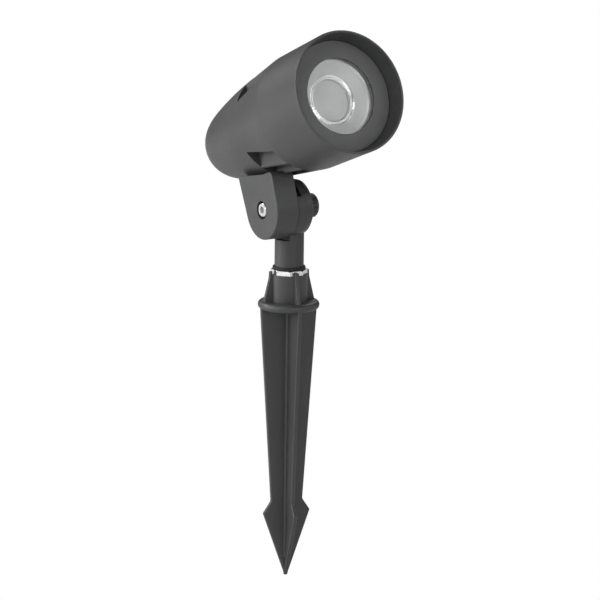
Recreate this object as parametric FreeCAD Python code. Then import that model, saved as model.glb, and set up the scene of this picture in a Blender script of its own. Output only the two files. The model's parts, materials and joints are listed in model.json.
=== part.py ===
import FreeCAD, Part
import os
import math
from FreeCAD import Vector

# Garden spike spotlight. Millimetres, +Z up. The origin is on the stem axis in
# the underside of the spike's flange, which is the ground line: the spike is
# below z = 0 and the lamp above it. The lamp's front faces -Y, and the pivot
# axis runs along X.

# ---------------------------------------------------------------- dimensions
# overall layout
PIVOT_Z = 62.9          # pivot axis above the ground line
TILT = 21.3             # head axis above the horizontal at rest, degrees
HEAD_OFF = 50.6         # head axis above the pivot, square to the head axis
RIM_FWD = 89.3          # rim plane ahead of the pivot, along the head axis
HEAD_LEN = 152.2        # rim to the closed back end

# housing outside, (distance behind the rim, radius)
R_RIM = 37.5
KINK_T, KINK_R = 47.0, 36.6
TAIL = [(47.0, 36.6), (60.0, 35.1), (80.0, 32.7), (100.0, 29.9), (118.0, 26.55),
        (130.0, 23.85), (138.4, 21.3), (144.7, 18.2), (149.2, 14.1), (151.5, 8.5), (152.2, 0.0)]
# housing inside
R_HOOD = 34.2           # hood bore
R_LIP = 36.0            # the bore flares to a thin lip at the rim
FLARE_T = 10.0          # where the flare ends
HOOD_T = 13.0           # depth of the hood bore
R_THREAD = 33.2         # bore that the bezel ring screws into
THREAD_T = 24.0
R_CHAMBER = 32.2        # light chamber
PLATE_T0, PLATE_T1 = 44.0, 48.0     # heat plate, front and back
PLATE_SCREW_R = 20.2    # radius of the plate's screw circle
CAVITY = [(48.0, 23.0), (84.0, 22.6), (110.5, 22.0), (134.0, 17.2), (142.5, 11.0), (145.5, 6.0), (145.5, 0.0)]
# cooling slots, top and bottom, cut square to the pivot axis
SLOT_T0, SLOT_T1 = 50.4, 80.6
SLOT_R0, SLOT_R1 = 26.4, 25.6       # floor radius at the front and at the back
SLOTS = [(1.2, 9.5), (10.6, 19.2), (20.3, 28.7)]
SLOT_MIN = 12.0         # the slots stop this far from the middle plane
# lug under the housing
LUG_X0, LUG_X1 = -20.2, -5.0
LUG_R = 18.2
LUG_EDGE = 0.7          # rounding of the near face
# pivot screw, M5 socket head
M5_R = 2.5
M5_HEAD_R, M5_HEAD_H = 4.25, 5.0
CBORE_R = 5.6
SCREW_TOP_X = -20.0
WASHER_H = 1.2
# knuckle and stem
TONGUE_X0, TONGUE_X1 = -4.4, 7.0
KNUCKLE_R = 17.8        # beside the lug, where it is flush with it
KNUCKLE_FAR_R = 16.4    # at the far face
STEM_R = 9.0
SHOULDER_Z = -19.4      # flat shoulder under the lug, below the pivot
STEM_BOTTOM_Z = -36.2
TAIL_R = 8.0            # M16 threaded tail
TAIL_Z = -56.0
# seal, captive nut
SEAL_R, SEAL_Z = 10.25, -38.2
NUT_R, NUT_Z = 11.35, -41.0
NUT_TURN = 16.0         # degrees
# knob
KNOB_X0, KNOB_X1 = 7.4, 17.3
KNOB_R = 7.5
# spike, heights below the pivot
COLLAR_R = 11.5
RIB_TOP_Z = -39.2
SOCKET_Z = -58.5
FLANGE_Z0, FLANGE_Z1 = -57.9, -62.9
FLANGE_R = 19.0
FIN_T = 2.6             # fin thickness
FIN_EDGE = 0.8          # rounding of the fins' long edges
FIN_TOP_R, NECK_R, NECK_Z = 18.7, 10.35, -185.4
BARB_R, BARB_Z = 15.65, -192.7
TIP_Z = -234.2
FIN_TURN = -9.3         # the spike's fins are turned this much about Z
# cable gland, M12, behind the lug
GLAND_X, GLAND_T = 8.0, 118.0

X = Vector(1, 0, 0)
Y = Vector(0, 1, 0)
Z = Vector(0, 0, 1)

parts = {}


# ------------------------------------------------------------------- helpers
def line(a, b):
    return Part.makeLine(Vector(*a), Vector(*b))


def revolve(points):
    """Solid of revolution about the head axis from (behind rim, radius) corners."""
    pts = [Vector(r, 0, -t) for t, r in points]
    wire = Part.makePolygon(pts + [pts[0]])
    return Part.Face(wire).revolve(Vector(0, 0, 0), Z, 360)


def ring_t(t0, t1, r_out, r_in=0.0, x=0.0, y=0.0):
    """Disc or ring along the head axis, from t0 to t1 behind the rim."""
    s = Part.makeCylinder(r_out, t1 - t0, Vector(x, y, -t1), Z)
    if r_in > 0:
        s = s.cut(Part.makeCylinder(r_in, t1 - t0 + 2, Vector(x, y, -t1 - 1), Z))
    return s


def cyl_x(x0, x1, r):
    return Part.makeCylinder(r, x1 - x0, Vector(x0, 0, 0), X)


def tube_x(x0, x1, r_out, r_in):
    return cyl_x(x0, x1, r_out).cut(cyl_x(x0 - 1, x1 + 1, r_in))


def polar(radius, angle):
    a = math.radians(angle)
    return radius * math.cos(a), radius * math.sin(a)


def tangent(px, py, r, side):
    """Point where a line from (px, py) touches the circle of radius r about the origin."""
    d = math.hypot(px, py)
    a = math.atan2(py, px) + side * math.acos(r / d)
    return r * math.cos(a), r * math.sin(a)


def rounded(corners):
    """Closed wire through (point, radius) corners, each one rounded by its radius."""
    edges, ends = [], []
    n = len(corners)
    for i in range(n):
        pt, r = corners[i]
        a, b = corners[i - 1][0] - pt, corners[(i + 1) % n][0] - pt
        a.normalize()
        b.normalize()
        if r <= 0:
            ends.append((pt, None, pt))
            continue
        half = math.acos(max(-1.0, min(1.0, a.dot(b)))) / 2.0
        mid = a + b
        mid.normalize()
        reach = r / math.sin(half)
        ends.append((pt + a * (r / math.tan(half)), pt + mid * (reach - r), pt + b * (r / math.tan(half))))
    for i in range(n):
        p0, m, p1 = ends[i]
        if m is not None:
            edges.append(Part.Arc(p0, m, p1).toShape())
        edges.append(Part.makeLine(p1, ends[(i + 1) % n][0]))
    return Part.Wire(edges)


def head_place(shape):
    """From the head's own frame (rim centre, +Z forward, +Y head top) to the row frame."""
    s = shape.copy()
    s.translate(Vector(0, HEAD_OFF, RIM_FWD))
    s.rotate(Vector(0, 0, 0), X, 90.0 - TILT)
    s.translate(Vector(0, 0, PIVOT_Z))
    return s


def pivot_place(shape):
    s = shape.copy()
    s.translate(Vector(0, 0, PIVOT_Z))
    return s


def head_part(name, shape):
    parts[name] = head_place(shape)


# ------------------------------------------------------------------- housing
def build_housing():
    v = lambda t, r: Vector(r, 0, -t)
    spline = Part.BSplineCurve()
    pts = [v(t, r) for t, r in TAIL]
    t0 = Vector(-0.102, 0, -1.0)
    t1 = Vector(-1.0, 0, 0.0)
    spline.interpolate(Points=pts, InitialTangent=t0, FinalTangent=t1)
    edges = [
        Part.makeLine(v(0, 0), v(0, R_RIM - 0.9)),
        Part.Arc(v(0, R_RIM - 0.9), v(0.26, R_RIM - 0.26), v(0.9, R_RIM - 0.01)).toShape(),
        Part.makeLine(v(0.9, R_RIM - 0.01), v(KINK_T, KINK_R)),
        spline.toShape(),
        Part.makeLine(v(HEAD_LEN, 0), v(0, 0)),
    ]
    body = Part.Face(Part.Wire(edges)).revolve(Vector(0, 0, 0), Z, 360)
    if body.ShapeType != "Solid":
        body = body.Solids[0]

    # cooling slots: the ring between the sloping floor and the outside, sliced
    ring = revolve([(SLOT_T0, SLOT_R0), (SLOT_T0, 44.0), (SLOT_T1, 44.0), (SLOT_T1, SLOT_R1)])
    cutters = []
    for a, b in SLOTS:
        for side in (-1, 1):
            x0 = a if side > 0 else -b
            for up in (-1, 1):
                y0 = SLOT_MIN if up > 0 else -45.0
                box = Part.makeBox(b - a, 45.0 - SLOT_MIN, SLOT_T1 - SLOT_T0 + 10, Vector(x0, y0, -SLOT_T1 - 5))
                cutters.append(ring.common(box))
    body = body.cut(cutters)

    # lug: U shape square to the pivot axis. Its top follows the taper of the
    # housing and stands free of it at the near face, as a narrow ledge.
    oy, oz = -HEAD_OFF, -RIM_FWD        # the pivot in the head's own frame
    p = lambda h, n: Vector(LUG_X0, oy + n, oz + h)
    back, front = tangent(-21.6, 34.0, LUG_R, 1), tangent(18.5, 16.6, LUG_R, -1)
    top_back = (-20.2, 25.5)
    outline = Part.Wire([
        Part.Arc(p(*back), p(0, -LUG_R), p(*front)).toShape(),
        Part.makeLine(p(*front), p(18.5, 16.6)),
        Part.Arc(p(18.5, 16.6), p(17.45, 19.25), p(14.8, 20.4)).toShape(),
        Part.makeLine(p(14.8, 20.4), p(8.4, 20.4)),
        Part.makeLine(p(8.4, 20.4), p(*top_back)),
        Part.makeLine(p(*top_back), p(*back)),
    ])
    lug = Part.Face(outline).extrude(Vector(LUG_X1 - LUG_X0, 0, 0))
    lug = lug.makeFillet(LUG_EDGE, [e for e in lug.Edges if abs(e.BoundBox.XMin - LUG_X0) < 1e-6 and e.BoundBox.XLength < 1e-6])
    body = body.fuse(lug)

    # boss for the cable gland, far side, behind the lug
    boss = Part.makeCylinder(9.0, 14.0, Vector(GLAND_X, -28.4, -GLAND_T), Y)
    body = body.fuse(boss)

    # the inside: hood bore, bezel thread, light chamber, driver chamber
    inner = [(-1.0, 0.0), (-1.0, R_LIP + 0.3), (0.0, R_LIP + 0.3), (0.3, R_LIP), (FLARE_T, R_HOOD), (HOOD_T, R_HOOD),
             (HOOD_T, R_THREAD), (THREAD_T, R_THREAD), (THREAD_T, R_CHAMBER), (PLATE_T1, R_CHAMBER)] + CAVITY
    body = body.cut(revolve(inner))

    # three bosses for the heat plate's screws
    for a in (90, 210, 330):
        bx, by = polar(PLATE_SCREW_R, a)
        b = ring_t(PLATE_T1, 62.0, 3.8, 0.0, bx, by)
        body = body.fuse(b)
        body = body.cut(ring_t(PLATE_T1 - 1, 59.0, 1.5, 0.0, bx, by))

    # pivot bore and counterbore in the lug
    bore = Part.makeCylinder(2.7, 30.0, Vector(LUG_X0 - 5, oy, oz), X)
    cbore = Part.makeCylinder(CBORE_R, 6.2 + 5, Vector(LUG_X0 - 5, oy, oz), X)
    body = body.cut([bore, cbore])

    # threaded hole for the gland, M12
    body = body.cut(Part.makeCylinder(6.0, 22.0, Vector(GLAND_X, -33.0, -GLAND_T), Y))
    return body.removeSplitter()


head_part("head_housing", build_housing())

# ------------------------------------------------- bezel ring, glass and seal
bezel = revolve([(10.2, 23.4), (10.5, 23.1), (11.0, 23.1), (11.0, 28.2), (21.0, 28.2), (21.0, 33.1), (13.0, 33.1),
                 (13.0, 34.1), (11.7, 34.1), (11.4, 33.8), (10.2, 23.4)][:-1])
head_part("bezel_ring", bezel)
head_part("glass_lens", revolve([(11.0, 0.0), (11.0, 27.6), (11.3, 27.9), (14.7, 27.9), (15.0, 27.6), (15.0, 0.0)]))
head_part("lens_gasket", revolve([(15.0, 23.6), (15.0, 27.9), (17.0, 27.9), (17.0, 23.6)]))

# ------------------------------------------------- reflector and diffuser
# an open cone, then a narrow cup whose shelf carries the diffuser
LIP_T, LIP_R = 24.2, 13.05
SHELF_T = 27.0
reflector = revolve([(17.0, 22.9), (23.5, 13.9), (23.8, 13.4), (LIP_T, LIP_R), (SHELF_T, 12.95), (SHELF_T, 11.6), (34.0, 9.9), (42.0, 7.2),
                     (42.0, 8.8), (34.0, 11.6), (28.2, 14.0), (26.2, 14.5), (24.6, 14.9), (18.4, 23.4), (18.4, 27.9), (17.0, 27.9)])
head_part("reflector", reflector)

head_part("diffuser", revolve([(23.5, 0.0), (23.52, 2.4), (23.6, 4.8), (23.76, 7.0), (24.02, 9.2), (24.4, 11.0), (24.9, 12.3),
                                (25.4, 12.85), (SHELF_T, 12.85), (SHELF_T, 0.0)]))

# ------------------------------------------- light source on the heat plate
WIRE_Y = 13.0           # where the two leads pass through the plate
holder = ring_t(42.0, PLATE_T0, 16.6, 7.4)
holder = holder.cut(Part.makeBox(19.2, 19.2, 1.1, Vector(-9.6, -9.6, -PLATE_T0)))
for sx in (-1, 1):
    holder = holder.cut(ring_t(41.0, 45.0, 1.7, 0.0, sx * 13.4, 0.0))
holder = holder.cut(ring_t(41.0, 45.0, 1.2, 0.0, -2.0, WIRE_Y))
holder = holder.cut(ring_t(41.0, 45.0, 1.2, 0.0, 2.0, WIRE_Y))
head_part("led_holder", holder)
head_part("led_board", Part.makeBox(19.0, 19.0, 1.0, Vector(-9.5, -9.5, -PLATE_T0)))
head_part("led_emitter", revolve([(42.5, 0.0), (42.5, 6.3), (42.7, 6.5), (43.0, 6.5), (43.0, 0.0)]))


def screw_t(x, y, t_head, head_r, head_h, shank_r, length, recess=True):
    """Pan-head screw along the head axis, its head towards the front."""
    s = Part.makeCylinder(shank_r, length, Vector(x, y, -t_head - length), Z)
    head = Part.makeCylinder(head_r, head_h, Vector(x, y, -t_head), Z)
    head = head.makeFillet(head_h * 0.4, [e for e in head.Edges if abs(e.CenterOfMass.z - (-t_head + head_h)) < 1e-6
                                           and e.Curve.TypeId == "Part::GeomCircle"])
    s = s.fuse(head)
    if recess:
        for w, l in ((0.6, head_r * 1.1), (head_r * 1.1, 0.6)):
            s = s.cut(Part.makeBox(w, l, head_h * 0.6, Vector(x - w / 2, y - l / 2, -t_head + head_h * 0.45)))
    return s.removeSplitter()


head_part("holder_screws", Part.makeCompound([screw_t(sx * 13.4, 0, 42.0, 2.3, 1.6, 1.45, 5.0) for sx in (-1, 1)]))

plate = ring_t(PLATE_T0, PLATE_T1, 32.1)
for a in (90, 210, 330):
    px, py = polar(PLATE_SCREW_R, a)
    plate = plate.cut(ring_t(43, 49, 1.7, 0.0, px, py))
for sx in (-1, 1):
    plate = plate.cut(ring_t(43, 47.2, 1.5, 0.0, sx * 13.4, 0.0))
plate = plate.cut(ring_t(43, 49, 3.0, 0.0, 0.0, WIRE_Y))
for a in (150, 270, 30):
    px, py = polar(15.0, a)
    if a != 270:
        plate = plate.cut(ring_t(45.0, 49, 1.5, 0.0, px, py - 4.0))
    else:
        plate = plate.cut(ring_t(45.0, 49, 1.5, 0.0, px, py))
head_part("heat_plate", plate)
head_part("plate_screws", Part.makeCompound([screw_t(*polar(PLATE_SCREW_R, a), PLATE_T0, 2.7, 1.9, 1.45, 13.0) for a in (90, 210, 330)]))

# --------------------------------------------------------- driver behind it
SPACERS = [(polar(15.0, 150)[0], polar(15.0, 150)[1] - 4.0), polar(15.0, 270), (polar(15.0, 30)[0], polar(15.0, 30)[1] - 4.0)]
BOARD_T = 68.0
spacers = []
for sx, sy in SPACERS:
    hexa = []
    for k in range(6):
        a = math.radians(60 * k)
        hexa.append(Vector(sx + 2.9 * math.cos(a), sy + 2.9 * math.sin(a), -BOARD_T))
    body = Part.Face(Part.makePolygon(hexa + [hexa[0]])).extrude(Vector(0, 0, BOARD_T - PLATE_T1))
    body = body.fuse(ring_t(45.2, PLATE_T1, 1.45, 0.0, sx, sy))
    body = body.cut(ring_t(60.0, 69.0, 1.3, 0.0, sx, sy))
    spacers.append(body.removeSplitter())
head_part("driver_spacers", Part.makeCompound(spacers))
board = ring_t(BOARD_T, BOARD_T + 1.6, 20.5)
for sx, sy in SPACERS:
    board = board.cut(ring_t(67, 71, 1.5, 0.0, sx, sy))
for wx in (-2.0, 2.0):
    board = board.cut(ring_t(67, 71, 0.8, 0.0, wx, WIRE_Y))
head_part("driver_board", board)


def rear_screw(x, y, t, head_r, head_h, shank_r, length):
    s = Part.makeCylinder(shank_r, length, Vector(x, y, -t), Z)
    head = Part.makeCylinder(head_r, head_h, Vector(x, y, -t - head_h), Z)
    s = s.fuse(head)
    s = s.cut(Part.makeBox(head_r * 1.4, 0.6, head_h * 0.5, Vector(x - head_r * 0.7, y - 0.3, -t - head_h)))
    return s.removeSplitter()


head_part("spacer_screws", Part.makeCompound([rear_screw(sx, sy, BOARD_T + 1.6, 2.4, 1.6, 1.25, 7.0) for sx, sy in SPACERS]))
REAR = BOARD_T + 1.6
cap = Part.makeCylinder(5.0, 18.0, Vector(-8.0, 9.5, -REAR - 18.0), Z)
cap = cap.makeFillet(0.8, [e for e in cap.Edges if e.Curve.TypeId == "Part::GeomCircle"])
head_part("driver_capacitor", cap)
core = ring_t(REAR, REAR + 1.6, 5.6, 0.0, 4.8, 5.6).fuse(ring_t(REAR + 1.6, REAR + 7.4, 3.6, 0.0, 4.8, 5.6)).fuse(
    ring_t(REAR + 7.4, REAR + 9.0, 5.6, 0.0, 4.8, 5.6))
head_part("inductor_core", core.removeSplitter())
head_part("inductor_winding", ring_t(REAR + 1.6, REAR + 7.4, 5.1, 3.6, 4.8, 5.6))
head_part("driver_rectifier", Part.makeBox(8.5, 6.5, 3.2, Vector(-15.5, -8.0, -REAR - 3.2)))
term = Part.makeBox(11.0, 8.0, 10.0, Vector(-1.0, -9.5, -REAR - 10.0))
for k in (0, 1):
    cx = -1.0 + 2.9 + 5.2 * k
    term = term.cut(Part.makeCylinder(1.9, 3.0, Vector(cx, -5.5, -REAR - 10.0), Z))
    term = term.cut(Part.makeBox(3.4, 3.0, 3.4, Vector(cx - 1.7, -9.5, -REAR - 6.2)))
head_part("terminal_block", term)
head_part("led_wires", Part.makeCompound([ring_t(43.2, 71.2, 0.75, 0.0, wx, WIRE_Y) for wx in (-2.0, 2.0)]))

# -------------------------------------------------------------- cable gland
# own axis along -Y of the head frame, out of the boss face
GY = -28.4
def along_down(y_top, y_bot, r_out, r_in=0.0):
    s = Part.makeCylinder(r_out, y_top - y_bot, Vector(GLAND_X, y_bot, -GLAND_T), Y)
    if r_in > 0:
        s = s.cut(Part.makeCylinder(r_in, y_top - y_bot + 2, Vector(GLAND_X, y_bot - 1, -GLAND_T), Y))
    return s


def hex_down(y_top, y_bot, flat):
    rc = flat / math.cos(math.radians(30)) / 2.0
    pts = []
    for k in range(6):
        a = math.radians(60 * k + 30)
        pts.append(Vector(GLAND_X + rc * math.cos(a), y_bot, -GLAND_T + rc * math.sin(a)))
    return Part.Face(Part.makePolygon(pts + [pts[0]])).extrude(Vector(0, y_top - y_bot, 0))


gbody = along_down(-20.6, GY, 5.95).fuse(hex_down(GY, GY - 3.6, 15.0)).fuse(along_down(GY - 3.6, GY - 9.6, 5.2))
gbody = gbody.cut(along_down(-19.0, GY - 5.0, 3.1)).cut(along_down(GY - 4.0, GY - 12.0, 4.0))
head_part("gland_body", gbody.removeSplitter())
head_part("gland_seal", along_down(GY - 4.6, GY - 11.4, 3.95, 3.0))
gnut = hex_down(GY - 4.0, GY - 9.0, 14.0)
dome = Part.makeCone(4.4, 6.9, 4.0, Vector(GLAND_X, GY - 13.0, -GLAND_T), Y)
gnut = gnut.fuse(dome)
gnut = gnut.cut(along_down(GY - 3.0, GY - 9.7, 5.25)).cut(along_down(GY - 9.0, GY - 11.5, 4.0)).cut(along_down(GY - 9.0, GY - 14.0, 3.3))
head_part("gland_nut", gnut.removeSplitter())

# -------------------------------------------------- pivot, along the X axis
hx = SCREW_TOP_X
screw = cyl_x(hx, hx + M5_HEAD_H, M5_HEAD_R)
screw = screw.makeChamfer(0.4, [e for e in screw.Edges if e.Curve.TypeId == "Part::GeomCircle" and abs(e.CenterOfMass.x - hx) < 1e-6])
hexp = []
for k in range(6):
    a = math.radians(60 * k + 12)
    rc = 2.0 / math.cos(math.radians(30))
    hexp.append(Vector(hx - 1, rc * math.cos(a), rc * math.sin(a)))
screw = screw.cut(Part.Face(Part.makePolygon(hexp + [hexp[0]])).extrude(Vector(1 + 2.6, 0, 0)))
screw = screw.fuse(cyl_x(hx + M5_HEAD_H, 14.0, M5_R))
screw = screw.makeChamfer(0.5, [e for e in screw.Edges if e.Curve.TypeId == "Part::GeomCircle" and abs(e.CenterOfMass.x - 14.0) < 1e-6])
parts["pivot_screw"] = pivot_place(screw)
lock = tube_x(hx + M5_HEAD_H, hx + M5_HEAD_H + WASHER_H - 0.2, 4.4, 2.6)
lock = lock.cut(Part.makeBox(3.0, 0.9, 4.0, Vector(hx + M5_HEAD_H - 1, -0.45, 1.5)))
parts["pivot_spring_washer"] = pivot_place(lock)
parts["friction_washer"] = pivot_place(tube_x(LUG_X1, TONGUE_X0 - 0.02, 17.6, 2.7))

# --------------------------------------------------------- stem and knuckle
stem = Part.makeCylinder(STEM_R, -10.0 - STEM_BOTTOM_Z, Vector(0, 0, STEM_BOTTOM_Z), Z)
# near side stops in a flat shoulder under the lug
stem = stem.cut(Part.makeBox(30, 40, 40, Vector(TONGUE_X0 - 30, -20, SHOULDER_Z)))
# far side slopes into the knuckle's far face
wedge = [Vector(TONGUE_X1, -20, -15.5), Vector(12.0, -20, -23.0), Vector(12.0, -20, 5.0), Vector(TONGUE_X1, -20, 5.0)]
stem = stem.cut(Part.Face(Part.makePolygon(wedge + [wedge[0]])).extrude(Vector(0, 40, 0)))
kp = [Vector(TONGUE_X0, 0, 0), Vector(TONGUE_X0, 0, KNUCKLE_R), Vector(1.5, 0, KNUCKLE_R), Vector(6.1, 0, KNUCKLE_FAR_R + 0.3),
      Vector(TONGUE_X1, 0, KNUCKLE_FAR_R - 0.7), Vector(TONGUE_X1, 0, 0)]
knuckle = Part.Face(Part.makePolygon(kp + [kp[0]])).revolve(Vector(0, 0, 0), X, 360)
# stop notch beside the lug and a shallow relief next to it, in the upper half
for x0, x1, r, z in ((TONGUE_X0 - 1, TONGUE_X0 + 3.4, 14.2, 9.4), (TONGUE_X0 + 3.3, 4.2, 16.9, 10.6)):
    notch = cyl_x(x0, x1, 20.0).cut(cyl_x(x0 - 1, x1 + 1, r))
    knuckle = knuckle.cut(notch.common(Part.makeBox(20, 50, 30, Vector(-10, -25, z))))
stem = stem.fuse(knuckle)
tail = Part.makeCylinder(TAIL_R, STEM_BOTTOM_Z - TAIL_Z, Vector(0, 0, TAIL_Z), Z)
tail = tail.makeChamfer(0.8, [e for e in tail.Edges if e.Curve.TypeId == "Part::GeomCircle" and abs(e.CenterOfMass.z - TAIL_Z) < 1e-6])
stem = stem.fuse(tail)
stem = stem.cut(cyl_x(-20, 20, 2.58))
stem = stem.removeSplitter()
parts["stem_knuckle"] = pivot_place(stem)

seal = Part.makeCylinder(SEAL_R, STEM_BOTTOM_Z - SEAL_Z, Vector(0, 0, SEAL_Z), Z)
seal = seal.makeFillet(0.6, [e for e in seal.Edges if e.Curve.TypeId == "Part::GeomCircle"])
seal = seal.cut(Part.makeCylinder(TAIL_R + 0.05, 6, Vector(0, 0, SEAL_Z - 2), Z))
parts["stem_seal"] = pivot_place(seal)

nut = []
for k in range(8):
    a = math.radians(45 * k + NUT_TURN)
    nut.append(Vector(NUT_R * math.cos(a), NUT_R * math.sin(a), NUT_Z))
nut = Part.Face(Part.makePolygon(nut + [nut[0]])).extrude(Vector(0, 0, SEAL_Z - NUT_Z))
nut = nut.common(Part.makeCone(11.5, 10.9, 0.6, Vector(0, 0, SEAL_Z - 0.6), Z).fuse(
    Part.makeCylinder(11.5, SEAL_Z - 0.6 - NUT_Z, Vector(0, 0, NUT_Z), Z)))
nut = nut.cut(Part.makeCylinder(TAIL_R + 0.05, 8, Vector(0, 0, NUT_Z - 2), Z))
parts["captive_nut"] = pivot_place(nut.removeSplitter())

# -------------------------------------------------------------- clamp knob
knob = cyl_x(KNOB_X0, KNOB_X1, KNOB_R)
knob = knob.makeFillet(1.6, [e for e in knob.Edges if e.Curve.TypeId == "Part::GeomCircle" and abs(e.CenterOfMass.x - KNOB_X1) < 1e-6])
flutes = []
for k in range(16):
    a = math.radians(22.5 * k)
    flutes.append(Part.makeCylinder(0.75, 8.4, Vector(KNOB_X0 - 1, (KNOB_R + 0.35) * math.cos(a), (KNOB_R + 0.35) * math.sin(a)), X))
knob = knob.cut(flutes)
knob = knob.cut(cyl_x(KNOB_X0 - 1, 15.0, 3.6)).cut(cyl_x(KNOB_X0 - 1, 8.3, 5.4))
parts["clamp_knob"] = pivot_place(knob.removeSplitter())
parts["knob_insert"] = pivot_place(tube_x(8.3, 15.0, 3.6, 2.56))
parts["knob_washer"] = pivot_place(tube_x(TONGUE_X1, 8.2, 5.0, 2.7))


# ------------------------------------------------------------------- spike
def build_spike():
    collar = Part.makeCylinder(COLLAR_R, NUT_Z - FLANGE_Z1, Vector(0, 0, FLANGE_Z1), Z)
    flange = Part.makeCylinder(FLANGE_R, FLANGE_Z0 - FLANGE_Z1, Vector(0, 0, FLANGE_Z1), Z)
    flange = flange.makeFillet(2.3, [e for e in flange.Edges if e.Curve.TypeId == "Part::GeomCircle"])
    body = collar.fuse(flange)
    # fins below the flange, one pair per plate, barbed at the point
    half = [(FIN_TOP_R, FLANGE_Z1 + 1.0, 0.0), (FIN_TOP_R - 0.05, FLANGE_Z1 - 1.0, 0.0), (NECK_R + 0.15, NECK_Z, 3.0),
            (BARB_R, BARB_Z - 0.2, 1.2)]
    outline = [(Vector(r, -FIN_T / 2, z), c) for r, z, c in half] + [(Vector(0, -FIN_T / 2, TIP_Z - 1.7), 0.9)]
    outline += [(Vector(-r, -FIN_T / 2, z), c) for r, z, c in reversed(half)]
    plate = Part.Face(rounded(outline)).extrude(Vector(0, FIN_T, 0))
    plate = plate.makeFillet(FIN_EDGE, [e for e in plate.Edges if e.BoundBox.YLength < 1e-6 and e.CenterOfMass.z < FLANGE_Z1 + 0.9])
    other = plate.copy()
    other.rotate(Vector(0, 0, 0), Z, 90)
    body = body.fuse([plate, other])
    # square core that thickens the middle of the cross
    core = [Vector(3.5, 0, FLANGE_Z1 + 1), Vector(0, 3.5, FLANGE_Z1 + 1), Vector(-3.5, 0, FLANGE_Z1 + 1), Vector(0, -3.5, FLANGE_Z1 + 1)]
    core = Part.Face(Part.makePolygon(core + [core[0]])).extrude(Vector(0, 0, -(FLANGE_Z1 + 1 - (TIP_Z + 12.0))))
    body = body.fuse(core)
    # gusset ribs beside the collar, standing up round the nut
    rib = [(9.5, NUT_Z), (11.6, NUT_Z), (11.6, RIB_TOP_Z + 0.3), (11.9, RIB_TOP_Z), (12.7, RIB_TOP_Z), (13.0, RIB_TOP_Z - 0.3),
           (13.2, NUT_Z - 2.2), (16.7, FLANGE_Z0 + 0.2), (16.7, FLANGE_Z1 + 1.0), (9.5, FLANGE_Z1 + 1.0)]
    wall = [Vector(r, -FIN_T / 2 + 0.05, z) for r, z in rib]
    wall = Part.Face(Part.makePolygon(wall + [wall[0]])).extrude(Vector(0, FIN_T - 0.1, 0))
    wall = wall.makeFillet(0.5, [e for e in wall.Edges if e.BoundBox.YLength < 1e-6 and e.BoundBox.XMin > 12.9
                                 and e.BoundBox.ZMax < RIB_TOP_Z and e.BoundBox.ZMin > FLANGE_Z1 + 1.5])
    ribs = []
    for k in range(4):
        w = wall.copy()
        w.rotate(Vector(0, 0, 0), Z, 90 * k)
        ribs.append(w)
    body = body.fuse(ribs)
    # threaded socket for the stem's tail
    body = body.cut(Part.makeCylinder(TAIL_R + 0.06, NUT_Z - SOCKET_Z + 5, Vector(0, 0, SOCKET_Z), Z))
    body = body.removeSplitter()
    body.rotate(Vector(0, 0, 0), Z, FIN_TURN)
    return body


def revolve_z(points):
    pts = [Vector(r, 0, z) for r, z in points]
    return Part.Face(Part.makePolygon(pts + [pts[0]])).revolve(Vector(0, 0, 0), Z, 360)


parts["spike"] = pivot_place(build_spike())

# ------------------------------------------------------------------ export
os.makedirs("parts", exist_ok=True)
for name in sorted(parts):
    shape = parts[name]
    solids = shape.Solids
    ok = all(s.isValid() and s.isClosed() for s in solids)
    bb = shape.BoundBox
    print("%-20s solids %d valid %s volume %.1f  x %.1f..%.1f  y %.1f..%.1f  z %.1f..%.1f" % (
        name, len(solids), ok, sum(s.Volume for s in solids), bb.XMin, bb.XMax, bb.YMin, bb.YMax, bb.ZMin, bb.ZMax))
    out = solids[0] if len(solids) == 1 else Part.makeCompound(solids)
    out.exportStep("parts/%s.step" % name)
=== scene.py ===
import json
import math

import bmesh
import bpy
from mathutils import Matrix, Vector

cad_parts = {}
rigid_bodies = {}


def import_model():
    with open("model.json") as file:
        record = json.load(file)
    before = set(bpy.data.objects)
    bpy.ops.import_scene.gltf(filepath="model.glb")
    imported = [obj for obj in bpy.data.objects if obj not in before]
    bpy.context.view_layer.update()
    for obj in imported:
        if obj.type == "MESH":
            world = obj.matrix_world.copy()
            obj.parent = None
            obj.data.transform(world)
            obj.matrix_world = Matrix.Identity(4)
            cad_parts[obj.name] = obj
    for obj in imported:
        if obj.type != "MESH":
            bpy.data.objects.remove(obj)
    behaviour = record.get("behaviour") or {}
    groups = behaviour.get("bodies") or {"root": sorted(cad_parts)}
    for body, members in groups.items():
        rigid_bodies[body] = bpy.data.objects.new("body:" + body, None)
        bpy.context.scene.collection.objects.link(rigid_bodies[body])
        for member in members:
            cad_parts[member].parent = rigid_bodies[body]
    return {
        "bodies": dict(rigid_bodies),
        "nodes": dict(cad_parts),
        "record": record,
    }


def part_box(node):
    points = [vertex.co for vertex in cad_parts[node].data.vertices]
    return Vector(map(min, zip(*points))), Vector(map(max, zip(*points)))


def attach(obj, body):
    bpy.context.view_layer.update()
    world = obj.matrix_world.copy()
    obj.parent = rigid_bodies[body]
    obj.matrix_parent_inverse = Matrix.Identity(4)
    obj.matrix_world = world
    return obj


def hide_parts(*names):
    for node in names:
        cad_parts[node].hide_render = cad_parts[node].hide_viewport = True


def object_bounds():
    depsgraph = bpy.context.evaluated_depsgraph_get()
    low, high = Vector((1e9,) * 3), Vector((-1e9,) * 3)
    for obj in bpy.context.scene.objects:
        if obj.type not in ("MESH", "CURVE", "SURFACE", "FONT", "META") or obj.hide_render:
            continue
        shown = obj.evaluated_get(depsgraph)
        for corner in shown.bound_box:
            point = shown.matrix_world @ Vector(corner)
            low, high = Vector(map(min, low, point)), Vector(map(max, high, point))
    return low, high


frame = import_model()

NODES = frame["nodes"]
BODIES = frame["bodies"]
CAD_BOX = [list(v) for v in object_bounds()]
PIVOT = Vector((0.0, 0.0, 0.0629))
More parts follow.
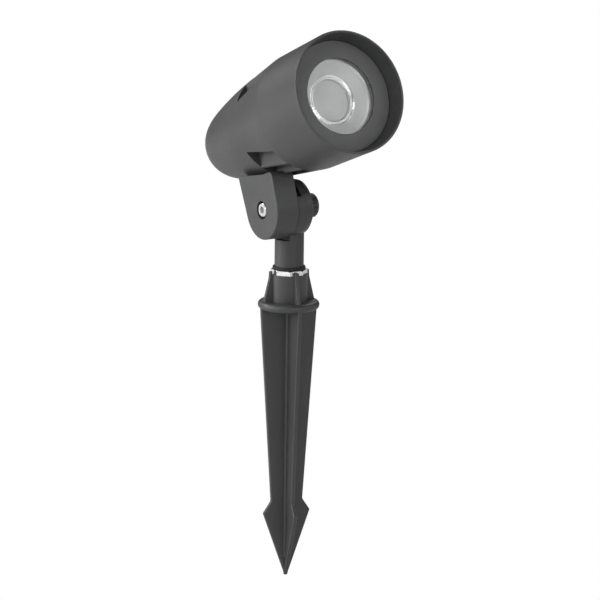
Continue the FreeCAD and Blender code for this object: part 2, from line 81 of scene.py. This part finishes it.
TILT = math.radians(21.3)
HEAD_FWD = Vector((0.0, -math.cos(TILT), math.sin(TILT)))
HEAD_UP = Vector((0.0, math.sin(TILT), math.cos(TILT)))
RIM = PIVOT + HEAD_FWD * 0.0893 + HEAD_UP * 0.0506
MM = 0.001


# --------------------------------------------------------------- camera
def make_camera():
    """Camera at the photograph's viewing angle, from a fit of the object's ellipses."""
    az, el, roll, dist, f = math.radians(32.477), math.radians(10.405), math.radians(0.729), 1.83496, 3000.0
    c = Vector((-math.sin(az) * math.cos(el), -math.cos(az) * math.cos(el), math.sin(el))) * dist
    fw = -c.normalized()
    right = Vector((math.cos(az), -math.sin(az), 0.0))
    up = right.cross(fw)
    dx, dy = (288.658 - 300.0) / f, (207.445 - 300.0) / f
    fw2 = (fw - dx * right + dy * up).normalized()
    r2 = fw2.cross(Vector((0, 0, 1))).normalized()
    u2 = r2.cross(fw2)
    rr = math.cos(roll) * r2 + math.sin(roll) * u2
    uu = -math.sin(roll) * r2 + math.cos(roll) * u2
    cam = bpy.data.cameras.new("camera")
    cam.sensor_fit = "HORIZONTAL"
    cam.sensor_width = 36.0
    cam.lens = 36.0 * f / 600.0
    cam.clip_start, cam.clip_end = 0.05, 20.0
    ob = bpy.data.objects.new("camera", cam)
    bpy.context.scene.collection.objects.link(ob)
    m = Matrix((rr, uu, -fw2)).transposed().to_4x4()
    m.translation = PIVOT + c
    ob.matrix_world = m
    bpy.context.scene.camera = ob
    return ob


CAM = make_camera()


# ------------------------------------------------------- node helpers
def new_mat(name):
    m = bpy.data.materials.new(name)
    m.use_nodes = True
    nt = m.node_tree
    nt.nodes.clear()
    out = nt.nodes.new("ShaderNodeOutputMaterial")
    bsdf = nt.nodes.new("ShaderNodeBsdfPrincipled")
    nt.links.new(bsdf.outputs["BSDF"], out.inputs["Surface"])
    return m, nt, bsdf


def coords(nt, scale=(1, 1, 1), rotation=(0, 0, 0), location=(0, 0, 0)):
    tc = nt.nodes.new("ShaderNodeTexCoord")
    mp = nt.nodes.new("ShaderNodeMapping")
    mp.inputs["Location"].default_value = location
    mp.inputs["Scale"].default_value = scale
    mp.inputs["Rotation"].default_value = rotation
    nt.links.new(tc.outputs["Object"], mp.inputs["Vector"])
    return mp.outputs["Vector"]


def noise(nt, vec, scale, detail=3.0, rough=0.5):
    n = nt.nodes.new("ShaderNodeTexNoise")
    n.inputs["Scale"].default_value = scale
    n.inputs["Detail"].default_value = detail
    n.inputs["Roughness"].default_value = rough
    nt.links.new(vec, n.inputs["Vector"])
    return n.outputs["Fac"]


def cells(nt, vec, scale, feature="F1"):
    n = nt.nodes.new("ShaderNodeTexVoronoi")
    n.feature = feature
    n.inputs["Scale"].default_value = scale
    nt.links.new(vec, n.inputs["Vector"])
    return n.outputs["Distance"]


def math_node(nt, op, a, b, c=None):
    n = nt.nodes.new("ShaderNodeMath")
    n.operation = op
    for k, v in enumerate((a, b, c)):
        if v is None:
            continue
        if isinstance(v, (int, float)):
            n.inputs[k].default_value = v
        else:
            nt.links.new(v, n.inputs[k])
    return n.outputs[0]


def ramp(nt, fac, stops):
    r = nt.nodes.new("ShaderNodeValToRGB")
    els = r.color_ramp.elements
    while len(els) > 1:
        els.remove(els[-1])
    els[0].position, els[0].color = stops[0][0], (*stops[0][1], 1)
    for p, c in stops[1:]:
        e = els.new(p)
        e.color = (*c, 1)
    nt.links.new(fac, r.inputs["Fac"])
    return r.outputs["Color"]


def remap(nt, fac, a, b, lo, hi):
    m = nt.nodes.new("ShaderNodeMapRange")
    m.inputs["From Min"].default_value = a
    m.inputs["From Max"].default_value = b
    m.inputs["To Min"].default_value = lo
    m.inputs["To Max"].default_value = hi
    nt.links.new(fac, m.inputs["Value"])
    return m.outputs["Result"]


def bump(nt, height, strength, distance, normal=None):
    b = nt.nodes.new("ShaderNodeBump")
    b.inputs["Strength"].default_value = strength
    b.inputs["Distance"].default_value = distance
    nt.links.new(height, b.inputs["Height"])
    if normal is not None:
        nt.links.new(normal, b.inputs["Normal"])
    return b.outputs["Normal"]


def along_head(nt, offset=0.0):
    """Distance behind the rim plane, in metres, from object coordinates."""
    tc = nt.nodes.new("ShaderNodeTexCoord")
    d = nt.nodes.new("ShaderNodeVectorMath")
    d.operation = "DOT_PRODUCT"
    nt.links.new(tc.outputs["Object"], d.inputs[0])
    d.inputs[1].default_value = tuple(-HEAD_FWD)
    return math_node(nt, "ADD", d.outputs["Value"], RIM.dot(HEAD_FWD) + offset)


def tint(tone, k):
    return tuple(min(1.0, c * k) for c in tone)


def mix_colour(nt, fac, a, b):
    n = nt.nodes.new("ShaderNodeMix")
    n.data_type = "RGBA"
    for s, v in ((n.inputs[6], a), (n.inputs[7], b)):
        if isinstance(v, tuple):
            s.default_value = (*v, 1)
        else:
            nt.links.new(v, s)
    nt.links.new(fac, n.inputs[0])
    return n.outputs[2]


# --------------------------------------------------------------- materials
def powder_coat(name, tone, rough=0.5, grain=1.0, spec=0.5, worn=None, bare=(0.20, 0.20, 0.205)):
    """Fine-texture powder coat over a casting: orange peel, faint speckle, thin wear on a rim if worn is given."""
    m, nt, b = new_mat(name)
    vec = coords(nt)
    big = noise(nt, vec, 26.0, 3.0, 0.55)
    fine = noise(nt, vec, 1700.0, 2.0, 0.6)
    peel = noise(nt, vec, 560.0, 2.5, 0.5)
    mixed = math_node(nt, "MULTIPLY_ADD", fine, 0.5, big)
    col = ramp(nt, mixed, [(0.42, tint(tone, 0.84)), (0.74, tone), (1.05, tint(tone, 1.18))])
    if worn is not None:
        t = worn(nt)
        ragged = math_node(nt, "ADD", t, math_node(nt, "MULTIPLY", noise(nt, vec, 420.0, 4.0, 0.65), -0.0011))
        mask = remap(nt, ragged, -0.00045, 0.00005, 0.75, 0.0)
        col = mix_colour(nt, mask, col, bare)
    nt.links.new(col, b.inputs["Base Color"])
    b.inputs["Specular IOR Level"].default_value = spec
    nt.links.new(remap(nt, math_node(nt, "MULTIPLY_ADD", peel, 0.5, fine), 0.45, 1.0, rough - 0.07, rough + 0.09), b.inputs["Roughness"])
    n1 = bump(nt, peel, 0.35 * grain, 0.00022)
    nt.links.new(bump(nt, fine, 0.25 * grain, 0.00007, n1), b.inputs["Normal"])
    return m


def moulded(name, tone, rough=0.5, grain=1.0, spec=0.5, flow=(1, 1, 0.25)):
    """Injection-moulded plastic: spark-eroded texture, soft flow variation along the part."""
    m, nt, b = new_mat(name)
    vec = coords(nt)
    streak = noise(nt, coords(nt, flow), 60.0, 3.0, 0.5)
    fine = noise(nt, vec, 2100.0, 2.0, 0.55)
    mixed = math_node(nt, "MULTIPLY_ADD", fine, 0.35, streak)
    nt.links.new(ramp(nt, mixed, [(0.4, tint(tone, 0.85)), (0.68, tone), (0.98, tint(tone, 1.17))]), b.inputs["Base Color"])
    nt.links.new(remap(nt, math_node(nt, "MULTIPLY_ADD", streak, 0.8, fine), 0.5, 1.3, rough - 0.08, rough + 0.08), b.inputs["Roughness"])
    b.inputs["Specular IOR Level"].default_value = spec
    n1 = bump(nt, streak, 0.12 * grain, 0.0005)
    nt.links.new(bump(nt, fine, 0.3 * grain, 0.00006, n1), b.inputs["Normal"])
    return m


def metal(name, tone, rough=0.3, brush=(1, 1, 1), scale=900.0, grain=1.0, turned=None):
    """Bare metal with directional brushing, or turning rings about an axis (turned = wave axis and centre)."""
    m, nt, b = new_mat(name)
    lines = noise(nt, coords(nt, brush), scale, 2.0, 0.6)
    cloud = noise(nt, coords(nt), 90.0, 3.0, 0.5)
    if turned is not None:
        axis, centre = turned
        w = nt.nodes.new("ShaderNodeTexWave")
        w.wave_type = "RINGS"
        w.rings_direction = axis
        w.inputs["Scale"].default_value = 1400.0
        w.inputs["Distortion"].default_value = 1.2
        w.inputs["Detail"].default_value = 1.0
        nt.links.new(coords(nt, location=tuple(-c for c in centre)), w.inputs["Vector"])
        lines = math_node(nt, "MULTIPLY_ADD", w.outputs["Fac"], 0.5, math_node(nt, "MULTIPLY", lines, 0.5))
    mixed = math_node(nt, "MULTIPLY_ADD", lines, 0.5, cloud)
    nt.links.new(ramp(nt, mixed, [(0.45, tint(tone, 0.86)), (0.75, tone), (1.0, tint(tone, 1.08))]), b.inputs["Base Color"])
    b.inputs["Metallic"].default_value = 1.0
    nt.links.new(remap(nt, mixed, 0.45, 1.05, rough - 0.08, rough + 0.12), b.inputs["Roughness"])
    nt.links.new(bump(nt, lines, 0.18 * grain, 0.00005), b.inputs["Normal"])
    return m


def rubber(name, tone):
    m, nt, b = new_mat(name)
    vec = coords(nt)
    fine = noise(nt, vec, 1300.0, 3.0, 0.6)
    bloom = noise(nt, vec, 70.0, 4.0, 0.6)
    mixed = math_node(nt, "MULTIPLY_ADD", fine, 0.3, bloom)
    nt.links.new(ramp(nt, mixed, [(0.4, tint(tone, 0.8)), (0.68, tone), (0.95, tint(tone, 1.6))]), b.inputs["Base Color"])
    nt.links.new(remap(nt, bloom, 0.3, 0.7, 0.62, 0.8), b.inputs["Roughness"])
    b.inputs["Specular IOR Level"].default_value = 0.4
    nt.links.new(bump(nt, fine, 0.3, 0.0001), b.inputs["Normal"])
    return m


def lens_glass(name):
    """Clear hardened glass, very slightly hazed by handling."""
    m, nt, b = new_mat(name)
    vec = coords(nt)
    smear = noise(nt, coords(nt, (1.0, 0.35, 0.35), (0.3, 0.2, 0.5)), 55.0, 4.0, 0.6)
    nt.links.new(ramp(nt, smear, [(0.3, (0.955, 0.96, 0.958)), (0.7, (0.985, 0.988, 0.986))]), b.inputs["Base Color"])
    b.inputs["Transmission Weight"].default_value = 1.0
    b.inputs["IOR"].default_value = 1.5
    nt.links.new(remap(nt, smear, 0.35, 0.75, 0.015, 0.10), b.inputs["Roughness"])
    nt.links.new(bump(nt, noise(nt, vec, 18.0, 1.0, 0.4), 0.03, 0.0004), b.inputs["Normal"])
    return m


def frosted(name, tone):
    """Opal diffuser: sandblasted skin with a faint mottling inside."""
    m, nt, b = new_mat(name)
    vec = coords(nt)
    fine = noise(nt, vec, 1500.0, 2.0, 0.6)
    cloud = noise(nt, vec, 120.0, 3.0, 0.5)
    nt.links.new(ramp(nt, cloud, [(0.3, tint(tone, 0.93)), (0.7, tint(tone, 1.05))]), b.inputs["Base Color"])
    nt.links.new(remap(nt, fine, 0.3, 0.7, 0.34, 0.5), b.inputs["Roughness"])
    b.inputs["Subsurface Weight"].default_value = 0.35
    b.inputs["Subsurface Radius"].default_value = (0.6, 0.6, 0.6)
    b.inputs["Subsurface Scale"].default_value = 0.002
    nt.links.new(bump(nt, fine, 0.2, 0.00005), b.inputs["Normal"])
    return m


def satin_reflector(name):
    """Vacuum-metallised reflector: satin cone, polished on the lip round the diffuser and on its rolled outer edge."""
    m, nt, b = new_mat(name)
    vec = coords(nt)
    cloud = noise(nt, vec, 80.0, 3.0, 0.5)
    fine = noise(nt, vec, 900.0, 2.0, 0.5)
    patchy = noise(nt, vec, 330.0, 3.0, 0.6)
    mixed = math_node(nt, "MULTIPLY_ADD", fine, 0.3, cloud)
    t = along_head(nt)
    lip = remap(nt, math_node(nt, "ABSOLUTE", math_node(nt, "SUBTRACT", t, 0.0236), 0.0), 0.00105, 0.00125, 1.0, 0.0)
    edge = remap(nt, math_node(nt, "MULTIPLY_ADD", patchy, 0.0022, t), 0.0190, 0.0194, 0.22, 0.0)
    shine = math_node(nt, "MAXIMUM", lip, edge)
    satin = ramp(nt, mixed, [(0.4, (0.78, 0.78, 0.785)), (0.9, (0.88, 0.88, 0.885))])
    nt.links.new(mix_colour(nt, shine, satin, (0.93, 0.935, 0.94)), b.inputs["Base Color"])
    nt.links.new(remap(nt, shine, 0.0, 1.0, 0.22, 0.95), b.inputs["Metallic"])
    rough = remap(nt, mixed, 0.4, 0.9, 0.36, 0.46)
    nt.links.new(math_node(nt, "MULTIPLY", rough, remap(nt, shine, 0.0, 1.0, 1.0, 0.28)), b.inputs["Roughness"])
    nt.links.new(bump(nt, fine, 0.2, 0.00008), b.inputs["Normal"])
    return m


def phosphor(name):
    """Chip array under a yellow phosphor gel: a grid of slightly darker squares."""
    m, nt, b = new_mat(name)
    vec = coords(nt, rotation=(TILT, 0, 0))
    ch = nt.nodes.new("ShaderNodeTexChecker")
    ch.inputs["Scale"].default_value = 900.0
    ch.inputs["Color1"].default_value = (0.86, 0.62, 0.10, 1)
    ch.inputs["Color2"].default_value = (0.93, 0.74, 0.18, 1)
    nt.links.new(vec, ch.inputs["Vector"])
    cloud = noise(nt, vec, 400.0, 2.0, 0.5)
    nt.links.new(mix_colour(nt, remap(nt, cloud, 0.3, 0.7, 0.0, 0.5), ch.outputs["Color"], (0.96, 0.80, 0.30)), b.inputs["Base Color"])
    nt.links.new(remap(nt, cloud, 0.3, 0.7, 0.25, 0.4), b.inputs["Roughness"])
    nt.links.new(bump(nt, cloud, 0.2, 0.0001), b.inputs["Normal"])
    return m


def laminate(name):
    """Circuit board: solder mask with a faint copper pour and drilled grid below it."""
    m, nt, b = new_mat(name)
    vec = coords(nt, rotation=(TILT, 0, 0))
    br = nt.nodes.new("ShaderNodeTexBrick")
    br.inputs["Scale"].default_value = 260.0
    br.inputs["Mortar Size"].default_value = 0.03
    br.inputs["Color1"].default_value = (0.012, 0.085, 0.040, 1)
    br.inputs["Color2"].default_value = (0.016, 0.105, 0.050, 1)
    br.inputs["Mortar"].default_value = (0.030, 0.150, 0.070, 1)
    nt.links.new(vec, br.inputs["Vector"])
    cloud = noise(nt, vec, 300.0, 3.0, 0.6)
    nt.links.new(mix_colour(nt, remap(nt, cloud, 0.35, 0.75, 0.0, 0.45), br.outputs["Color"], (0.010, 0.060, 0.030)), b.inputs["Base Color"])
    nt.links.new(remap(nt, cloud, 0.3, 0.7, 0.28, 0.45), b.inputs["Roughness"])
    nt.links.new(bump(nt, br.outputs["Fac"], 0.25, 0.00006), b.inputs["Normal"])
    return m


def rim_wear(nt):
    return along_head(nt)


COAT = (0.047, 0.0475, 0.0485)
MATS = {
    "housing_paint": powder_coat("housing_paint", COAT, 0.47, 1.0, 0.5, rim_wear, (0.075, 0.075, 0.077)),
    "stem_paint": powder_coat("stem_paint", tint(COAT, 0.84), 0.47, 0.9),
    # bezel: the housing's own powder coat lightened threefold, a painted light standing in for the frontal light that
    # falls into the hood
    "bezel_paint": powder_coat("bezel_paint", tint(COAT, 3.0), 0.55, 0.7),
    "lens_glass": lens_glass("lens_glass"),
    "black_rubber": rubber("black_rubber", (0.012, 0.012, 0.012)),
    "reflector_metal": satin_reflector("reflector_metal"),
    "diffuser_plastic": frosted("diffuser_plastic", (0.88, 0.88, 0.885)),
    "white_ceramic": frosted("white_ceramic", (0.80, 0.80, 0.78)),
    "phosphor": phosphor("phosphor"),
    "white_plastic": moulded("white_plastic", (0.72, 0.72, 0.69), 0.45, 0.8),
    "bare_aluminium": metal("bare_aluminium", (0.66, 0.67, 0.68), 0.32, (1, 6, 6), 300.0),
    "zinc_steel": metal("zinc_steel", (0.62, 0.63, 0.62), 0.34, (1, 1, 1), 700.0),
    "stainless": metal("stainless", (0.72, 0.72, 0.73), 0.24, (1, 1, 1), 1500.0, 1.0, ("X", tuple(PIVOT))),
    "bright_nut": metal("bright_nut", (0.92, 0.92, 0.915), 0.22, (1, 1, 5), 500.0, 0.8),
    "brass_insert": metal("brass_insert", (0.72, 0.52, 0.22), 0.3, (4, 1, 1), 600.0),
    "green_laminate": laminate("green_laminate"),
    "capacitor_sleeve": moulded("capacitor_sleeve", (0.014, 0.018, 0.045), 0.28, 0.5),
    "ferrite": rubber("ferrite", (0.030, 0.030, 0.032)),
    "copper_wire": metal("copper_wire", (0.70, 0.30, 0.14), 0.25, (1, 1, 1), 900.0),
    "epoxy_black": moulded("epoxy_black", (0.016, 0.016, 0.017), 0.5, 1.0),
    "terminal_plastic": moulded("terminal_plastic", (0.025, 0.16, 0.07), 0.42, 0.7),
    "wire_sleeve": moulded("wire_sleeve", (0.36, 0.012, 0.010), 0.4, 0.6),
    "nylon_black": moulded("nylon_black", (0.022, 0.022, 0.023), 0.46, 1.0),
    "knob_plastic": moulded("knob_plastic", (0.030, 0.030, 0.031), 0.5, 1.2),
    "washer_polymer": moulded("washer_polymer", (0.034, 0.034, 0.035), 0.5, 0.8),
    "spike_plastic": moulded("spike_plastic", (0.046, 0.0465, 0.0475), 0.46, 1.0),
}
SLOT_OF = {s["node"]: s["material_slot"] for s in frame["record"]["subparts"]}

for name, ob in NODES.items():
    mat = MATS[SLOT_OF[name]]
    if not ob.material_slots:
        ob.data.materials.append(mat)
    for s in ob.material_slots:
        s.material = mat


# ------------------------------------------------------------------ pieces
def head_matrix():
    """From the head's own frame (rim centre, +Z forward, +Y head top) to the row frame."""
    m = Matrix((Vector((1, 0, 0)), HEAD_UP, HEAD_FWD)).transposed().to_4x4()
    m.translation = RIM
    return m


def add_piece(name, bm, body, slot, node=None, smooth=True):
    me = bpy.data.meshes.new(name)
    bmesh.ops.recalc_face_normals(bm, faces=bm.faces)
    for f in bm.faces:
        f.smooth = smooth
    bm.to_mesh(me)
    bm.free()
    ob = bpy.data.objects.new(name, me)
    bpy.context.scene.collection.objects.link(ob)
    me.materials.append(MATS[slot])
    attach(ob, body)
    if node:
        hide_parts(node)
    return ob


def lathe(bm, rows, count, matrix, closed=True):
    """Skin of revolution about local Z from rows of (z, radius) or callables of the angle."""
    rings = []
    for row in rows:
        ring = []
        for k in range(count):
            a = 2 * math.pi * k / count
            z, r = row(a) if callable(row) else row
            ring.append(bm.verts.new(matrix @ Vector((r * math.cos(a), r * math.sin(a), z))))
        rings.append(ring)
    n = len(rings)
    for i in range(n if closed else n - 1):
        p, q = rings[i], rings[(i + 1) % n]
        for k in range(count):
            j = (k + 1) % count
            bm.faces.new((p[k], p[j], q[j], q[k]))
    return rings


def sweep(bm, path, radius, sides=8):
    """Closed tube along a list of points."""
    rings = []
    up = Vector((0.3, 0.2, 0.9)).normalized()
    for i, p in enumerate(path):
        d = (path[min(i + 1, len(path) - 1)] - path[max(i - 1, 0)]).normalized()
        a = d.cross(up)
        a.normalize()
        b = d.cross(a)
        rings.append([bm.verts.new(p + (a * math.cos(t) + b * math.sin(t)) * radius)
                      for t in [2 * math.pi * k / sides for k in range(sides)]])
    for p, q in zip(rings, rings[1:]):
        for k in range(sides):
            bm.faces.new((p[k], p[(k + 1) % sides], q[(k + 1) % sides], q[k]))
    bm.faces.new(rings[0])
    bm.faces.new(list(reversed(rings[-1])))


def build_reflector():
    """Peened reflector cone with a polished lip, and the narrow cup behind it."""
    def at(profile, u):
        seg = [math.dist(a, b) for a, b in zip(profile, profile[1:])]
        s = u * sum(seg)
        for (a, b), l in zip(zip(profile, profile[1:]), seg):
            if s <= l or (a, b) == (profile[-2], profile[-1]):
                w = s / l
                return a[0] + (b[0] - a[0]) * w, a[1] + (b[1] - a[1]) * w
            s -= l
    rows = []
    # the outer edge is rolled over a 3 mm radius into the flange
    cone = [(17.0 + 3.0 * (1 - math.cos(a)), 23.96 - 3.0 * math.sin(a)) for a in [math.radians(54.0 * k / 9) for k in range(10)]]
    cone.append((23.05, 14.55))
    count, steps = 336, 40
    for i in range(steps + 1):
        u = i / steps
        t, r = at(cone, u)

        def row(a, t=t, r=r, u=u):
            # staggered shallow dimples, 42 round by 6 along the cone
            v = u * 8.0
            w = a / (2 * math.pi) * 42.0 + 0.5 * (int(v) % 2)
            d = (1 - math.cos(2 * math.pi * v)) * (1 - math.cos(2 * math.pi * w)) * 0.25
            k = 0.07 * d
            return (-(t + 0.59 * k) * MM, (r + 0.81 * k) * MM)
        rows.append(row)
    # polished bead round the diffuser, slightly lumpy from the spinning tool
    for i in range(12):
        f = math.radians(25.0 + 155.0 * i / 11)

        def bead(a, f=f):
            q = 0.62 + 0.024 * math.sin(f) * (math.sin(47 * a) + 0.7 * math.sin(83 * a + 1.3) + 0.5 * math.sin(29 * a + 0.4))
            return (-(23.3 - q * math.sin(f)) * MM, (13.56 + q * math.cos(f)) * MM)
        rows.append(bead)
    for t, r in ((24.3, 12.98), (26.0, 12.97), (27.0, 12.95), (27.0, 11.6)):
        rows.append((-t * MM, r * MM))
    for i in range(1, 13):
        t, r = at([(27.0, 11.6), (34.0, 9.9), (42.0, 7.2)], i / 12)
        rows.append((-t * MM, r * MM))
    for t, r in ((42.0, 8.8), (34.0, 11.6), (28.2, 14.0), (26.2, 14.5), (24.6, 14.9), (18.4, 23.4), (18.4, 27.75), (18.25, 27.9), (17.15, 27.9),
                 (17.0, 27.75), (17.0, 25.8)):
        rows.append((-t * MM, r * MM))
    bm = bmesh.new()
    lathe(bm, rows, count, head_matrix())
    ob = add_piece("reflector_peened", bm, "head", "reflector_metal", "reflector")
    return ob


def build_winding():
    """Outer layer of the choke's copper turns over the layers below it, between the core's cheeks."""
    bm = bmesh.new()
    m = head_matrix()
    t0, t1, cx, cy = 71.20, 77.00, 4.8, 5.6
    pts = []
    turns, per = 10, 20
    for i in range(turns * per + 1):
        a = 2 * math.pi * i / per
        u = i / (turns * per)
        t = t0 + 0.32 + (t1 - t0 - 0.64) * u
        pts.append(m @ (Vector((cx + 4.78 * math.cos(a), cy + 4.78 * math.sin(a), -t)) * MM))
    sweep(bm, pts, 0.285 * MM, 8)
    rows = [(-t0 - 0.05, 3.65), (-t0 - 0.05, 4.6), (-t1 + 0.05, 4.6), (-t1 + 0.05, 3.65)]
    lathe(bm, [(z * MM, r * MM) for z, r in rows], 48, m @ Matrix.Translation(Vector((cx, cy, 0)) * MM))
    return add_piece("choke_turns", bm, "head", "copper_wire", "inductor_winding")


def build_seal():
    """Rubber washer squeezed between stem and nut: bulged edge with two fine moulding lips."""
    lo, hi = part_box("stem_seal")
    z0, z1 = lo[2] / MM, hi[2] / MM
    h = z1 - z0
    rows = [(z0, 8.3), (z0, 9.7)]
    for i in range(13):
        u = i / 12
        r = 9.75 + 0.5 * math.sin(math.pi * u) ** 0.6 - 0.12 * math.exp(-((u - 0.5) / 0.07) ** 2)
        rows.append((z0 + 0.05 + (h - 0.1) * u, r))
    rows += [(z1, 9.7), (z1, 8.3)]
    bm = bmesh.new()
    lathe(bm, [(z * MM, r * MM) for z, r in rows], 96, Matrix.Identity(4))
    return add_piece("stem_seal_squeezed", bm, "stem", "black_rubber", "stem_seal")


build_reflector()
build_winding()
build_seal()


# ------------------------------------------------------------------- stage
def make_stage():
    bm = bmesh.new()
    bmesh.ops.create_circle(bm, cap_ends=True, segments=96, radius=9.0)
    me = bpy.data.meshes.new("floor")
    bm.to_mesh(me)
    bm.free()
    fl = bpy.data.objects.new("floor", me)
    fl.location = (0, 0, CAD_BOX[0][2] - 0.0002)
    bpy.context.scene.collection.objects.link(fl)
    m = bpy.data.materials.new("floor_white")
    m.use_nodes = True
    nt = m.node_tree
    nt.nodes.clear()
    out = nt.nodes.new("ShaderNodeOutputMaterial")
    dif = nt.nodes.new("ShaderNodeBsdfDiffuse")
    dif.inputs["Color"].default_value = (0.80, 0.80, 0.80, 1)
    em = nt.nodes.new("ShaderNodeEmission")
    em.inputs["Strength"].default_value = 1.0
    lp = nt.nodes.new("ShaderNodeLightPath")
    mix = nt.nodes.new("ShaderNodeMixShader")
    nt.links.new(lp.outputs["Is Camera Ray"], mix.inputs["Fac"])
    nt.links.new(dif.outputs[0], mix.inputs[1])
    nt.links.new(em.outputs[0], mix.inputs[2])
    # open from below, so that the underside can be looked at
    geo = nt.nodes.new("ShaderNodeNewGeometry")
    clear = nt.nodes.new("ShaderNodeBsdfTransparent")
    below = nt.nodes.new("ShaderNodeMixShader")
    nt.links.new(geo.outputs["Backfacing"], below.inputs["Fac"])
    nt.links.new(mix.outputs[0], below.inputs[1])
    nt.links.new(clear.outputs[0], below.inputs[2])
    nt.links.new(below.outputs[0], out.inputs["Surface"])
    me.materials.append(m)
    return fl


def make_world(fill):
    w = bpy.data.worlds.new("studio")
    w.use_nodes = True
    nt = w.node_tree
    nt.nodes.clear()
    out = nt.nodes.new("ShaderNodeOutputWorld")
    seen = nt.nodes.new("ShaderNodeBackground")
    seen.inputs["Strength"].default_value = 1.0
    seen.inputs["Color"].default_value = (1, 1, 1, 1)
    light = nt.nodes.new("ShaderNodeBackground")
    light.inputs["Color"].default_value = (1, 1, 1, 1)
    light.inputs["Strength"].default_value = fill
    lp = nt.nodes.new("ShaderNodeLightPath")
    mix = nt.nodes.new("ShaderNodeMixShader")
    nt.links.new(lp.outputs["Is Camera Ray"], mix.inputs["Fac"])
    nt.links.new(light.outputs[0], mix.inputs[1])
    nt.links.new(seen.outputs[0], mix.inputs[2])
    nt.links.new(mix.outputs[0], out.inputs["Surface"])
    bpy.context.scene.world = w
    bpy.context.scene.view_settings.view_transform = "Standard"


def softbox(name, azimuth, elevation, distance, size, power):
    """Round soft light aimed at the head. Azimuth 0 stands in front (-Y), 90 on the +X side."""
    a, e = math.radians(azimuth), math.radians(elevation)
    aim = Vector((0, 0, 0.08))
    loc = aim + Vector((math.sin(a) * math.cos(e), -math.cos(a) * math.cos(e), math.sin(e))) * distance
    l = bpy.data.lights.new(name, "AREA")
    l.shape = "DISK"
    l.size = size
    l.energy = power
    o = bpy.data.objects.new(name, l)
    o.location = loc
    o.rotation_euler = (aim - loc).to_track_quat("-Z", "Y").to_euler()
    o.visible_camera = False
    bpy.context.scene.collection.objects.link(o)
    return o


FLOOR = make_stage()
make_world(0.06)
softbox("key_high", -115.0, 30.0, 2.0, 0.9, 9.0)
softbox("key_low", -118.0, 6.0, 2.0, 0.9, 16.5)
softbox("side", -80.0, 15.0, 2.0, 0.9, 13.0)
softbox("back_left", -150.0, 30.0, 2.0, 0.9, 14.0)
softbox("top", -90.0, 80.0, 2.0, 0.9, 5.0)
softbox("front_high", -50.0, 45.0, 2.0, 0.9, 5.0)
softbox("front", -5.0, 12.0, 2.0, 0.9, 8.0)
softbox("front_right", 35.0, 20.0, 2.0, 0.9, 4.0)
softbox("right", 68.0, 16.0, 2.0, 0.7, 4.0)
softbox("back_right", 135.0, 35.0, 2.0, 0.9, 6.0)
